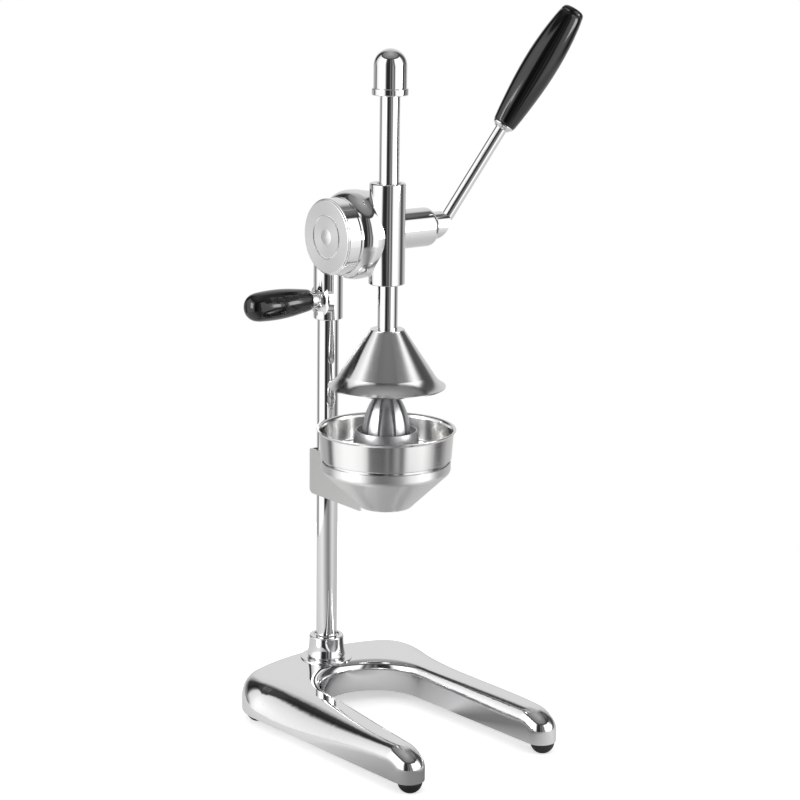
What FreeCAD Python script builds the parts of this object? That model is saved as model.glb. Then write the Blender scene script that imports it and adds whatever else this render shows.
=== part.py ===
# Lever citrus press: a cast base on four rubber feet, a tube column with a cast head, a rack and pinion
# driven by a side lever, and a press cup over a reamer, a strainer bowl and a funnel.
# Millimetres. +Z is up, +X is the lever's side, -Y is the front, and the floor is Z 0.
import FreeCAD
import Part
import math
import os
import re
import Sketcher

# Driving dimensions, each written once. Heights are above the floor unless a name says otherwise.
SIZES = {
    # where the column stands in the part's frame, whose origin is under the middle of the whole press
    "column_x": -48.0,
    "column_y": 103.0,
    "clearance": 0.05,
    # base casting and feet
    "foot_height": 10.3,
    "foot_radius": 11.0,
    "foot_pad_radius": 5.0,
    "foot_stem_radius": 4.0,
    "foot_stem_length": 9.0,
    "foot_front_x": 76.7,
    "foot_front_y": -230.0,
    "foot_rear_x": 88.0,
    "foot_rear_y": -12.0,
    "base_corner_x": 55.5,
    "base_corner_y": -26.0,
    "base_corner_radius": 50.0,
    "base_rear_bow": 200.0,
    "base_tip_x": 76.4,
    "base_tip_y": -227.0,
    "base_tip_radius": 14.6,
    "base_arch_y": -80.0,
    "base_arch_radius": 52.0,
    "base_height": 40.3,
    "base_nose_length": 28.0,
    "base_nose_dip": 6.0,
    "base_rear_rounding": 15.0,
    "base_side_land": 1.2,
    "base_tip_land": 1.1,
    "base_arch_rounding": 9.0,
    "base_wall": 7.5,
    "base_hollow_top": 25.0,
    "base_boss_radius": 25.0,
    "base_boss_height": 41.5,
    # column, its socket and the bolt that draws it down
    "column_radius": 10.0,
    "column_wall": 2.0,
    "column_above": 3.7,
    "socket_flare": 1.8,
    "socket_wall": 6.6,
    "socket_top": 63.4,
    "plug_length": 30.0,
    "bolt_radius": 4.0,
    "bolt_head_across": 13.0,
    "bolt_head_height": 5.3,
    "bolt_washer_radius": 12.0,
    "bolt_washer_thickness": 2.0,
    "bolt_boss_bottom": 24.0,
    # head casting
    "ram_reach": 91.0,
    "ram_radius": 9.0,
    "ram_below": 83.3,
    "ram_above": 129.7,
    "guide_offset": 2.0,
    "guide_wall": 5.3,
    "guide_below": 42.6,
    "guide_above": 48.4,
    "guide_bush_wall": 2.0,
    "guide_bush_length": 14.0,
    "sleeve_wall": 3.7,
    "sleeve_below": 88.3,
    "sleeve_above": 15.7,
    "sleeve_dome": 9.0,
    "shaft_height": 462.3,
    "case_bulge": 6.0,
    "case_peak_x": -14.0,
    "case_taper": 2.3,
    "case_taper_x": 1.0,
    "case_flange_x": -33.4,
    "case_shoulder_x": 16.0,
    "case_shoulder_radius": 25.0,
    "chamber_gap": 3.0,
    "chamber_end": 9.0,
    "boss_radius": 17.9,
    "boss_end": 71.4,
    "boss_rounding": 6.5,
    "web_half_width": 9.0,
    "web_below": 30.3,
    # cover of the gear case
    "cover_face_x": -46.8,
    "cover_rim": 3.4,
    "cover_ring_radius": 19.2,
    "cover_button_radius": 7.25,
    "cover_step": 1.9,
    "cover_wall": 3.0,
    # rack, pinion and shaft
    "tooth_module": 2.0,
    "pinion_teeth": 24,
    "pinion_width": 14.0,
    "tooth_backlash": 0.25,
    "rack_gaps": 15,
    "rack_depth": 2.6,
    "shaft_radius": 6.0,
    "shaft_in_hub": 12.0,
    "bush_wall": 2.0,
    "bush_flange": 2.5,
    "key_width": 4.0,
    "circlip_step": 3.0,
    # lever
    "hub_length": 13.7,
    "hub_gap": 0.5,
    "hub_radius": 13.0,
    "hub_ball_radius": 18.6,
    "hub_ball_rise": 6.0,
    "hub_screw_depth": 3.0,
    "hub_seat": 10.5,
    "lever_lean_out": 28.0,
    "lever_lean_forward": 15.3,
    "rod_radius": 5.5,
    "rod_root": 2.0,
    "ferrule_start": 104.0,
    "ferrule_radius": 10.2,
    "grip_start": 108.5,
    "grip_end": 230.0,
    "grip_neck_radius": 10.2,
    "grip_belly_radius": 14.4,
    "grip_tail_radius": 9.6,
    "grip_cap_length": 5.0,
    "grip_curve": 460.0,
    "grip_curve_tail": 330.0,
    # steady handle on the left of the column
    "steady_rise": 17.6,
    "steady_tilt": 3.5,
    "steady_neck_radius": 8.5,
    "steady_neck_end": 22.5,
    "steady_stud_radius": 4.0,
    "steady_grip_end": 92.7,
    "steady_grip_neck": 9.4,
    "steady_grip_belly": 13.6,
    "steady_curve": 300.0,
    "set_screw_radius": 2.5,
    "set_screw_rise": 6.0,
    # acorn cap on the ram
    "acorn_overlap": 3.7,
    "acorn_brim_radius": 16.2,
    "acorn_brim_height": 6.5,
    "acorn_radius": 14.8,
    "acorn_rise": 37.2,
    "spigot_radius": 6.0,
    "spigot_length": 14.0,
    # press cup
    "cup_wall": 1.6,
    "cup_lip_radius": 53.5,
    "cup_depth": 53.0,
    "cup_skirt_radius": 42.5,
    "cup_skirt_rise": 12.0,
    "cup_crown_radius": 15.7,
    "cup_crown_thickness": 3.0,
    "cup_screw_radius": 4.0,
    "cup_screw_length": 20.0,
    "cup_screw_head": 6.5,
    "cup_washer_radius": 11.0,
    # strainer bowl, reamer and funnel
    "bowl_wall": 1.5,
    "bowl_lip": 2.6,
    "bowl_depth": 24.0,
    "bowl_radius": 61.6,
    "bowl_draft": 1.6,
    "bowl_foot_drop": 3.5,
    "bowl_floor": 263.0,
    "bowl_skirt_gap": 0.3,
    "strainer_hole_radius": 2.2,
    "strainer_holes": 20,
    "strainer_row_gap": 10.0,
    "strainer_margin": 9.8,
    "reamer_skirt_radius": 30.0,
    "reamer_rim_radius": 27.6,
    "reamer_rim_rise": 23.0,
    "reamer_cone_radius": 22.0,
    "reamer_rise": 64.0,
    "reamer_flutes": 10,
    "reamer_peg_radius": 6.0,
    "funnel_wall": 1.2,
    "funnel_step": 0.7,
    "funnel_top_drop": 6.0,
    "funnel_band": 9.0,
    "funnel_outlet_radius": 23.9,
    "funnel_drop": 34.2,
    # sheet bracket that carries the funnel
    "bracket_sheet": 2.0,
    "bracket_depth": 43.5,
    "bracket_overlap": 0.4,
    "bracket_corner": 5.0,
    "bracket_screw_radius": 2.5,
    "bracket_screw_inset": 11.0,
    "funnel_seat_gap": 0.3,
}

# Sizes that follow others, so that a changed size takes its neighbours with it.
DERIVED = {
    "socket_neck_radius": "column_radius + socket_wall",
    "socket_radius": "socket_neck_radius + socket_flare",
    "sleeve_radius": "column_radius + sleeve_wall",
    "sleeve_bottom": "shaft_height - sleeve_below",
    "sleeve_top": "shaft_height + sleeve_above",
    "column_top": "shaft_height + column_above",
    "set_screw_height": "sleeve_bottom + set_screw_rise",
    "steady_height": "sleeve_bottom + steady_rise",
    "web_bottom": "shaft_height - web_below",
    "guide_bush_radius": "ram_radius + guide_bush_wall",
    "guide_radius": "guide_bush_radius + guide_wall",
    "guide_bottom": "shaft_height - guide_below",
    "guide_top": "shaft_height + guide_above",
    "rack_pitch_line": "ram_radius - rack_depth",
    "chamber_radius": "tooth_module * (pinion_teeth / 2 + 1) + chamber_gap",
    "cover_spigot_radius": "chamber_radius + cover_step",
    "cover_radius": "cover_spigot_radius + cover_rim",
    "case_radius": "cover_radius + case_bulge",
    "case_taper_radius": "case_radius - case_taper",
    "bush_radius": "shaft_radius + bush_wall",
    "bush_flange_radius": "bush_radius + bush_flange",
    "circlip_radius": "shaft_radius + circlip_step",
    "hub_start": "boss_end + hub_gap",
    "hub_x": "hub_start + hub_length",
    "shaft_end": "hub_start + shaft_in_hub",
    "ram_bottom": "shaft_height - ram_below",
    "ram_shoulder": "shaft_height + ram_above",
    "acorn_brim_bottom": "ram_shoulder - acorn_overlap",
    "acorn_top": "ram_shoulder + acorn_rise",
    "cup_lip_height": "ram_bottom - cup_depth",
    "cup_skirt_height": "cup_lip_height + cup_skirt_rise",
    "bowl_lip_radius": "bowl_radius + bowl_lip",
    "bowl_lip_height": "bowl_floor + bowl_depth",
    "bowl_foot_radius": "bowl_radius - bowl_draft",
    "bowl_foot_height": "bowl_floor - bowl_foot_drop",
    "funnel_radius": "bowl_foot_radius - funnel_step",
    "funnel_top": "bowl_floor - funnel_top_drop",
    "funnel_shoulder": "funnel_top - funnel_band",
    "funnel_outlet": "funnel_shoulder - funnel_drop",
    "bowl_skirt_radius": "funnel_radius - funnel_wall - bowl_skirt_gap",
    "strainer_outer_row": "bowl_skirt_radius - strainer_margin",
    "strainer_inner_row": "strainer_outer_row - strainer_row_gap",
    "reamer_rim_height": "bowl_floor + reamer_rim_rise",
    "reamer_tip": "bowl_floor + reamer_rise",
    "bracket_top": "funnel_shoulder",
    "bracket_bottom": "bracket_top - bracket_depth",
    "bracket_reach": "ram_reach - funnel_outlet_radius + bracket_overlap",
}

WORD = re.compile(r"[a-z][a-z_]*")
UP = FreeCAD.Vector(0, 0, 1)
MAIN_PIECES = []

document = FreeCAD.newDocument("citrus_press")
sheet = document.addObject("Spreadsheet::Sheet", "Sizes")
for row, (alias, number) in enumerate(SIZES.items(), start=1):
    sheet.set(f"A{row}", alias)
    sheet.set(f"B{row}", str(number))
    sheet.setAlias(f"B{row}", alias)
document.recompute()


def linked(expression):
    """An expression in the names above, written so that any object can use it."""
    def written(word):
        name = word.group()
        if name in DERIVED:
            return f"({linked(DERIVED[name])})"
        return "Sizes." + name if name in SIZES else name
    return WORD.sub(written, expression)


def size(expression):
    """The present value of such an expression."""
    return float(sheet.evalExpression(linked(expression)))


def bind(item, field, expression):
    item.setExpression(field, linked(expression))


def place(item, along_x="0", along_y="0", along_z="0", turn=None):
    """Put a piece where the expressions say, counted from the column's foot."""
    if turn is not None:
        item.Placement = FreeCAD.Placement(FreeCAD.Vector(), turn)
    bind(item, "Placement.Base.x", "column_x + " + along_x)
    bind(item, "Placement.Base.y", "column_y + " + along_y)
    bind(item, "Placement.Base.z", along_z)
    MAIN_PIECES.append(item)


def new_body(label):
    body = document.addObject("PartDesign::Body", label)
    body.Label = label
    return body


def origin_part(body, role):
    return [feature for feature in body.Origin.OriginFeatures if feature.Role == role][0]


def new_sketch(body, role, name, shift_x="0", shift_y="0", lift="0"):
    """A sketch on one of the body's own planes, moved within that plane or off it."""
    drawing = body.newObject("Sketcher::SketchObject", f"{body.Name}_{name}")
    drawing.AttachmentSupport = [(origin_part(body, role), "")]
    drawing.MapMode = "FlatFace"
    bind(drawing, "AttachmentOffset.Base.x", shift_x)
    bind(drawing, "AttachmentOffset.Base.y", shift_y)
    bind(drawing, "AttachmentOffset.Base.z", lift)
    return drawing


def constrain(drawing, expression, kind, *where):
    number = drawing.addConstraint(Sketcher.Constraint(kind, *where, size(expression)))
    bind(drawing, f"Constraints[{number}]", expression)


def add_circle(drawing, radius, across="0", along="0"):
    centre = FreeCAD.Vector(size(across), size(along), 0)
    number = drawing.addGeometry(Part.Circle(centre, UP, size(radius)), False)
    constrain(drawing, across, "DistanceX", -1, 1, number, 3)
    constrain(drawing, along, "DistanceY", -1, 1, number, 3)
    constrain(drawing, radius, "Radius", number)


def arc_through(start, end, radius):
    """The short arc from start to end. It turns left with a plus radius and right with a minus one."""
    chord = end - start
    rise = math.sqrt(max(radius**2 - (chord.Length / 2) ** 2, 0.0))
    left = FreeCAD.Vector(-chord.y, chord.x, 0).normalize()
    centre = (start + end) / 2 + left * math.copysign(rise, radius)
    first, last = (start, end) if radius > 0 else (end, start)
    angles = [math.atan2(point.y - centre.y, point.x - centre.x) for point in (first, last)]
    return Part.ArcOfCircle(Part.Circle(centre, UP, abs(radius)), *angles)


def add_outline(drawing, corners):
    """A closed outline. Each corner is (across, along), with a radius where an arc leads up to it."""
    points = [FreeCAD.Vector(size(corner[0]), size(corner[1]), 0) for corner in corners]
    ends = []
    for index, corner in enumerate(corners):
        start, end = points[index - 1], points[index]
        if len(corner) == 3:
            radius = size(corner[2])
            number = drawing.addGeometry(arc_through(start, end, radius), False)
            ends.append((number, 1, 2) if radius > 0 else (number, 2, 1))
        else:
            number = drawing.addGeometry(Part.LineSegment(start, end), False)
            ends.append((number, 1, 2))
    for index, corner in enumerate(corners):
        number, _, finish = ends[index]
        following, begin, _ = ends[(index + 1) % len(corners)]
        drawing.addConstraint(Sketcher.Constraint("Coincident", number, finish, following, begin))
        constrain(drawing, corner[0], "DistanceX", -1, 1, number, finish)
        constrain(drawing, corner[1], "DistanceY", -1, 1, number, finish)
        if len(corner) == 3:
            sign = "-1 * " if size(corner[2]) < 0 else ""
            constrain(drawing, f"{sign}({corner[2]})", "Radius", number)


def add_feature(kind, drawing, name, **settings):
    body = drawing.getParentGeoFeatureGroup()
    feature = body.newObject("PartDesign::" + kind, f"{body.Name}_{name}")
    feature.Profile = drawing
    for field, setting in settings.items():
        if isinstance(setting, str):
            bind(feature, field, setting)
        else:
            setattr(feature, field, setting)
    drawing.Visibility = False
    body.Tip = feature
    return feature


def pad(drawing, name, length, **settings):
    return add_feature("Pad", drawing, name, Length=length, **settings)


def pocket(drawing, name, depth, **settings):
    """A cut, which has to take something away."""
    body = drawing.getParentGeoFeatureGroup()
    document.recompute()
    before = body.Shape.Volume
    feature = add_feature("Pocket", drawing, name, Length=depth, **settings)
    document.recompute()
    if not body.Shape.Volume < before:
        raise ValueError(f"{feature.Name} cuts nothing")
    return feature


def turned(drawing, name, axis, kind="Revolution"):
    body = drawing.getParentGeoFeatureGroup()
    document.recompute()
    before = body.Shape.Volume if kind == "Groove" else None
    feature = add_feature(kind, drawing, name, ReferenceAxis=(drawing, [axis]), Angle=360.0)
    document.recompute()
    if before is not None and not body.Shape.Volume < before:
        raise ValueError(f"{feature.Name} cuts nothing")
    return feature


def dress(body, kind, name, field, amount, wanted):
    """Fillet or chamfer the edges that the test picks."""
    document.recompute()
    base = body.Tip
    edges = [f"Edge{number}" for number, edge in enumerate(base.Shape.Edges, 1) if wanted(edge)]
    if not edges:
        raise ValueError(f"{body.Name} {name}: no edge fits")
    feature = body.newObject("PartDesign::" + kind, f"{body.Name}_{name}")
    feature.Base = (base, edges)
    bind(feature, field, amount)
    body.Tip = feature
    document.recompute()
    return feature


def ring_edge(radius, height=None, x=None):
    """A test for a full circle of that radius at that height, or at that x where the axis lies along X."""
    def wanted(edge):
        if not isinstance(edge.Curve, Part.Circle) or abs(edge.Curve.Radius - size(radius)) > 0.01:
            return False
        centre = edge.Curve.Center
        if height is not None:
            return abs(centre.z - size(height)) < 0.01
        return abs(centre.x - size(x)) < 0.01
    return wanted


def repeated(body, feature, kind, name, **settings):
    pattern = body.newObject("PartDesign::" + kind, f"{body.Name}_{name}")
    pattern.Originals = [feature]
    for field, setting in settings.items():
        if isinstance(setting, str):
            bind(pattern, field, setting)
        else:
            setattr(pattern, field, setting)
    body.Tip = pattern
    document.recompute()
    return pattern


def dome(half, rise):
    """The radius of a round cap that rises this much over half its width."""
    return f"(({half}) * ({half}) + ({rise}) * ({rise})) / (2 * ({rise}))"


def turned_piece(label, corners, upright=True):
    """A body turned in one go: corners are (radius, height), or (x, radius) for a piece that lies along X."""
    body = new_body(label)
    drawing = new_sketch(body, "XZ_Plane", "profile")
    add_outline(drawing, corners)
    turned(drawing, "turning", "V_Axis" if upright else "H_Axis")
    return body


def tube(label, outer, inner, low, high):
    """A plain upright tube."""
    return turned_piece(label, [(inner, low), (outer, low), (outer, high), (inner, high)])


FEET = {
    "foot_front_left": ("-1 * foot_front_x", "foot_front_y"),
    "foot_front_right": ("foot_front_x", "foot_front_y"),
    "foot_rear_left": ("-1 * foot_rear_x", "foot_rear_y"),
    "foot_rear_right": ("foot_rear_x", "foot_rear_y"),
}
BRACKET_SCREWS = ("bracket_bottom + bracket_screw_inset", "bracket_top - bracket_screw_inset")
RAM_Y = "0 - ram_reach"
SHAFT_Y = "rack_pitch_line + tooth_module * pinion_teeth / 2 - ram_reach"


def make_base():
    """The casting: a bowed back, two crowned legs that end in ball noses, a round arch between them."""
    blank = new_body("base_blank")
    drawing = new_sketch(blank, "XY_Plane", "outline", lift="foot_height")
    add_base_outline(drawing, "0")
    pad(drawing, "block", "base_height - foot_height + 2")
    top = new_sketch(blank, "YZ_Plane", "top_line")
    nose_radius = "(base_nose_length + base_nose_dip)"
    front = "base_tip_y - base_tip_radius - 0.1"
    low = f"base_height - {nose_radius} + sqrt({nose_radius}^2 - (base_nose_length + 0.1)^2)"
    back = "base_corner_radius + 30"
    add_outline(top, [
        (back, "base_height"),
        (back, "base_height + 30"),
        (front + " - 20", "base_height + 30"),
        (front + " - 20", low),
        (front, low),
        ("base_tip_y - base_tip_radius + base_nose_length", "base_height", f"0 - {nose_radius}"),
    ])
    pocket(top, "top", "2 * (base_corner_x + base_corner_radius) + 20", Midplane=True)
    body = new_body("base")
    body.BaseFeature = rounded_rim(blank)
    hollow = new_sketch(body, "XY_Plane", "hollow_outline", lift="foot_height")
    add_base_outline(hollow, "base_wall")
    pocket(hollow, "hollow", "base_hollow_top - foot_height", Reversed=True)
    bosses = new_sketch(body, "XY_Plane", "bosses", lift="foot_height + 1")
    for x, y in FEET.values():
        add_circle(bosses, "foot_stem_radius + 3", x, y)
    pad(bosses, "foot_bosses", "base_hollow_top - foot_height - 0.5")
    centre = new_sketch(body, "XY_Plane", "column_boss", lift="bolt_boss_bottom")
    add_circle(centre, "bolt_washer_radius + 2")
    pad(centre, "bolt_boss", "base_hollow_top - bolt_boss_bottom + 1")
    seat = new_sketch(body, "XY_Plane", "seat", lift="base_hollow_top + 1")
    add_circle(seat, "base_boss_radius")
    pad(seat, "seat_boss", "base_boss_height - base_hollow_top - 1")
    rim = ring_edge("base_boss_radius", height="base_boss_height")
    dress(body, "Fillet", "seat_rim", "Radius", "0.8", rim)
    stems = new_sketch(body, "XY_Plane", "stem_holes", lift="foot_height + 1")
    for x, y in FEET.values():
        add_circle(stems, "foot_stem_radius + clearance", x, y)
    pocket(stems, "foot_holes", "foot_stem_length", Reversed=True)
    through = new_sketch(body, "XY_Plane", "bolt_hole", lift="base_boss_height")
    add_circle(through, "bolt_radius + 0.5")
    pocket(through, "bolt_passage", "base_boss_height - foot_height")
    place(body)


def rounded_rim(blank):
    """The block with its whole top rim rounded: widest along the outer sides, narrowest round the arch."""
    document.recompute()
    rounding = document.addObject("Part::Fillet", "base_rounding")
    rounding.Base = blank
    edges = []
    for number, edge in enumerate(blank.Shape.Edges, 1):
        box = edge.BoundBox
        if box.ZMin < size("foot_height") + 1 or box.YLength < 0.01:
            continue
        ends = [edge.valueAt(edge.FirstParameter), edge.valueAt(edge.LastParameter)]
        if abs(ends[0].z - ends[1].z) > 1 and box.XLength < 0.01:
            continue
        edges.append((number, rim_radius(ends[0]), rim_radius(ends[1])))
    rounding.Edges = edges
    document.recompute()
    return rounding


def rim_radius(point):
    """How far the rim is rounded at this point of it."""
    if point.y < size("base_tip_y - base_tip_radius + base_nose_length") + 1:
        return size("base_tip_radius - base_tip_land")
    if math.hypot(point.x, point.y - size("base_arch_y")) < size("base_arch_radius") + 1:
        return size("base_arch_rounding")
    if point.y > size("base_corner_y + base_corner_radius / 2"):
        return size("base_rear_rounding")
    return size("base_height - foot_height - base_side_land")


def add_base_outline(drawing, inset):
    """Five arcs joined by tangent lines, all moved inwards by the inset."""
    steps = {
        "corner": ("base_corner_x", "base_corner_y", f"base_corner_radius - {inset}"),
        "tip": ("base_tip_x", "base_tip_y", f"base_tip_radius - {inset}"),
    }
    rear_radius = size("base_rear_bow") - size(inset)
    corner = FreeCAD.Vector(size("base_corner_x"), size("base_corner_y"), 0)
    tip = FreeCAD.Vector(size("base_tip_x"), size("base_tip_y"), 0)
    arch = FreeCAD.Vector(0, size("base_arch_y"), 0)
    corner_radius = size(steps["corner"][2])
    tip_radius = size(steps["tip"][2])
    arch_radius = size(f"base_arch_radius + {inset}")
    span = rear_radius - corner_radius
    rear = FreeCAD.Vector(0, corner.y - math.sqrt(span**2 - corner.x**2), 0)
    back = (corner - rear).normalize()
    outer = belt_normal(corner, corner_radius, tip, tip_radius, -1)
    inner = belt_normal(arch, arch_radius, tip, -tip_radius, -1)
    right = [
        (corner, corner_radius, rear + back * rear_radius, corner + outer * corner_radius),
        (tip, tip_radius, tip + outer * tip_radius, tip - inner * tip_radius),
    ]
    curves = [
        arc_about(rear, rear_radius, right[0][2], mirrored(right[0][2])),
        arc_about(mirrored(corner), corner_radius, mirrored(right[0][2]), mirrored(right[0][3])),
        Part.LineSegment(mirrored(right[0][3]), mirrored(right[1][2])),
        arc_about(mirrored(tip), tip_radius, mirrored(right[1][2]), mirrored(right[1][3])),
        Part.LineSegment(mirrored(right[1][3]), mirrored(arch + inner * arch_radius)),
        arc_about(arch, arch_radius, arch + inner * arch_radius, mirrored(arch + inner * arch_radius)),
        Part.LineSegment(arch + inner * arch_radius, right[1][3]),
        arc_about(tip, tip_radius, right[1][3], right[1][2]),
        Part.LineSegment(right[1][2], right[0][3]),
        arc_about(corner, corner_radius, right[0][3], right[0][2]),
    ]
    for curve in curves:
        drawing.addGeometry(curve, False)
    arch_number = 5
    for number in range(len(curves)):
        following = (number + 1) % len(curves)
        finish = 1 if number == arch_number else 2
        begin = 2 if following == arch_number else 1
        drawing.addConstraint(Sketcher.Constraint("Tangent", number, finish, following, begin))
    for number, name in ((1, "corner"), (3, "tip"), (7, "tip"), (9, "corner")):
        x, y, radius = steps[name]
        constrain(drawing, f"-1 * {x}" if number < arch_number else x, "DistanceX", -1, 1, number, 3)
        constrain(drawing, y, "DistanceY", -1, 1, number, 3)
        constrain(drawing, radius, "Radius", number)
    constrain(drawing, "0", "DistanceX", -1, 1, arch_number, 3)
    constrain(drawing, "base_arch_y", "DistanceY", -1, 1, arch_number, 3)
    constrain(drawing, f"base_arch_radius + {inset}", "Radius", arch_number)
    constrain(drawing, f"base_rear_bow - {inset}", "Radius", 0)


def mirrored(point):
    return FreeCAD.Vector(-point.x, point.y, 0)


def belt_normal(first, first_radius, second, second_radius, side):
    """The direction from each centre to the line that touches both circles."""
    reach = second - first
    turn = math.acos((first_radius - second_radius) / reach.Length)
    angle = math.atan2(reach.y, reach.x) - side * turn
    return FreeCAD.Vector(math.cos(angle), math.sin(angle), 0)


def arc_about(centre, radius, start, end):
    angles = [math.atan2(point.y - centre.y, point.x - centre.x) for point in (start, end)]
    return Part.ArcOfCircle(Part.Circle(centre, UP, radius), *angles)


def make_feet():
    """Rubber domes with a flat pad below and a stem that pushes into the casting."""
    for label, (x, y) in FEET.items():
        foot = turned_piece(label, [
            ("0", "0"),
            ("foot_pad_radius", "0"),
            ("foot_radius", "foot_height - 2", "foot_radius"),
            ("foot_radius", "foot_height"),
            ("foot_stem_radius", "foot_height"),
            ("foot_stem_radius", "foot_height + foot_stem_length - 0.5"),
            ("foot_stem_radius - 1", "foot_height + foot_stem_length"),
            ("0", "foot_height + foot_stem_length"),
        ])
        place(foot, x, y)


def make_column():
    column = tube("column", "column_radius", "column_radius - column_wall",
                  "base_boss_height + clearance", "column_top - 1")
    place(column)
    bore = "column_radius + clearance"
    place(turned_piece("column_socket", [
        (bore, "base_boss_height"),
        ("socket_radius - 2", "base_boss_height"),
        ("socket_radius", "base_boss_height + 3", "3"),
        ("socket_neck_radius", "socket_top - 2.5", "-60"),
        ("socket_neck_radius", "socket_top - 1.2"),
        ("socket_neck_radius - 1.2", "socket_top", "1.2"),
        ("column_radius + 2.6", "socket_top"),
        ("column_radius + 1.4", "socket_top - 1"),
        (bore, "socket_top - 1"),
    ]))
    inner = "column_radius - column_wall - clearance"
    place(tube("column_plug", inner, "bolt_radius + clearance",
               "base_boss_height + 1", "base_boss_height + 1 + plug_length"))
    low = "bolt_boss_bottom - bolt_washer_thickness"
    place(tube("column_washer", "bolt_washer_radius", "bolt_radius + 0.4", low, "bolt_boss_bottom"))
    bolt = new_body("column_bolt")
    shank = new_sketch(bolt, "XY_Plane", "shank", lift=low)
    add_circle(shank, "bolt_radius")
    pad(shank, "shank_pad", "base_boss_height + plug_length - 4 - bolt_boss_bottom")
    head = new_sketch(bolt, "XY_Plane", "head", lift=low)
    add_hexagon(head, "bolt_head_across")
    pad(head, "head_pad", "bolt_head_height", Reversed=True)
    place(bolt)


def add_hexagon(drawing, across):
    """A hexagon of that size across its flats."""
    half, corner = f"({across}) / 2", f"({across}) / 2 / cos(30)"
    add_outline(drawing, [
        (corner, "0"),
        (f"{corner} / 2", half),
        (f"-1 * {corner} / 2", half),
        (f"-1 * {corner}", "0"),
        (f"-1 * {corner} / 2", f"-1 * {half}"),
        (f"{corner} / 2", f"-1 * {half}"),
    ])


def make_head():
    """One casting: gear case, column sleeve, ram guide, shaft boss and the neck of the steady handle."""
    body = new_body("head_housing")
    case = new_sketch(body, "XZ_Plane", "case", shift_y="shaft_height", lift=f"0 - ({SHAFT_Y})")
    add_outline(case, [
        ("case_flange_x", "0"),
        ("boss_end", "0"),
        ("boss_end", "boss_radius - boss_rounding"),
        ("boss_end - boss_rounding", "boss_radius", "boss_rounding"),
        ("case_shoulder_x + 4", "boss_radius"),
        ("case_shoulder_x", "boss_radius + 4", "-4"),
        ("case_shoulder_x", "case_shoulder_radius"),
        ("case_taper_x", "case_taper_radius", "case_shoulder_x - case_taper_x"),
        ("case_peak_x + 4", "case_radius - 0.4"),
        ("case_peak_x - 3", "case_radius", "60"),
        ("case_flange_x + 3", "cover_radius + 0.4", "16"),
        ("case_flange_x + 1.2", "cover_radius + 0.4"),
        ("case_flange_x + 1.2", "cover_radius - 0.6"),
        ("case_flange_x", "cover_radius - 0.6"),
    ])
    turned(case, "barrel", "H_Axis")
    web = new_sketch(body, "XY_Plane", "web", lift="web_bottom")
    add_outline(web, [
        ("-1 * web_half_width", f"{SHAFT_Y} + 10"),
        ("web_half_width", f"{SHAFT_Y} + 10"),
        ("web_half_width", "0"),
        ("-1 * web_half_width", "0"),
    ])
    pad(web, "web_pad", "sleeve_top - 8 - web_bottom")
    sleeve = new_sketch(body, "XZ_Plane", "sleeve")
    add_outline(sleeve, [
        ("0", "sleeve_bottom"),
        ("sleeve_radius - 0.8", "sleeve_bottom"),
        ("sleeve_radius", "sleeve_bottom + 0.8"),
        ("sleeve_radius", "sleeve_top - sleeve_dome"),
        ("sleeve_radius - sleeve_dome", "sleeve_top", "sleeve_dome"),
        ("0", "sleeve_top"),
    ])
    turned(sleeve, "sleeve_turning", "V_Axis")
    guide = new_sketch(body, "XY_Plane", "guide", shift_y=f"{RAM_Y} + guide_offset", lift="guide_bottom")
    add_circle(guide, "guide_radius")
    pad(guide, "guide_pad", "guide_top - guide_bottom")
    for name, edge in (("guide_low", "guide_bottom"), ("guide_high", "guide_top")):
        dress(body, "Chamfer", name, "Size", "0.8", ring_edge("guide_radius", height=edge))
    neck = new_sketch(body, "XZ_Plane", "neck", shift_y="steady_height")
    neck.AttachmentOffset = neck_offset()
    add_outline(neck, [
        ("-1 * steady_neck_end", "0"),
        ("-4", "0"),
        ("-4", "steady_neck_radius + 7.5"),
        ("0 - sleeve_radius + 4", "steady_neck_radius + 7"),
        ("0 - sleeve_radius - 4.5", "steady_neck_radius", "-9"),
        ("-1 * steady_neck_end", "steady_neck_radius"),
    ])
    turned(neck, "neck_turning", "H_Axis")
    bore_head(body)
    place(body)


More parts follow.
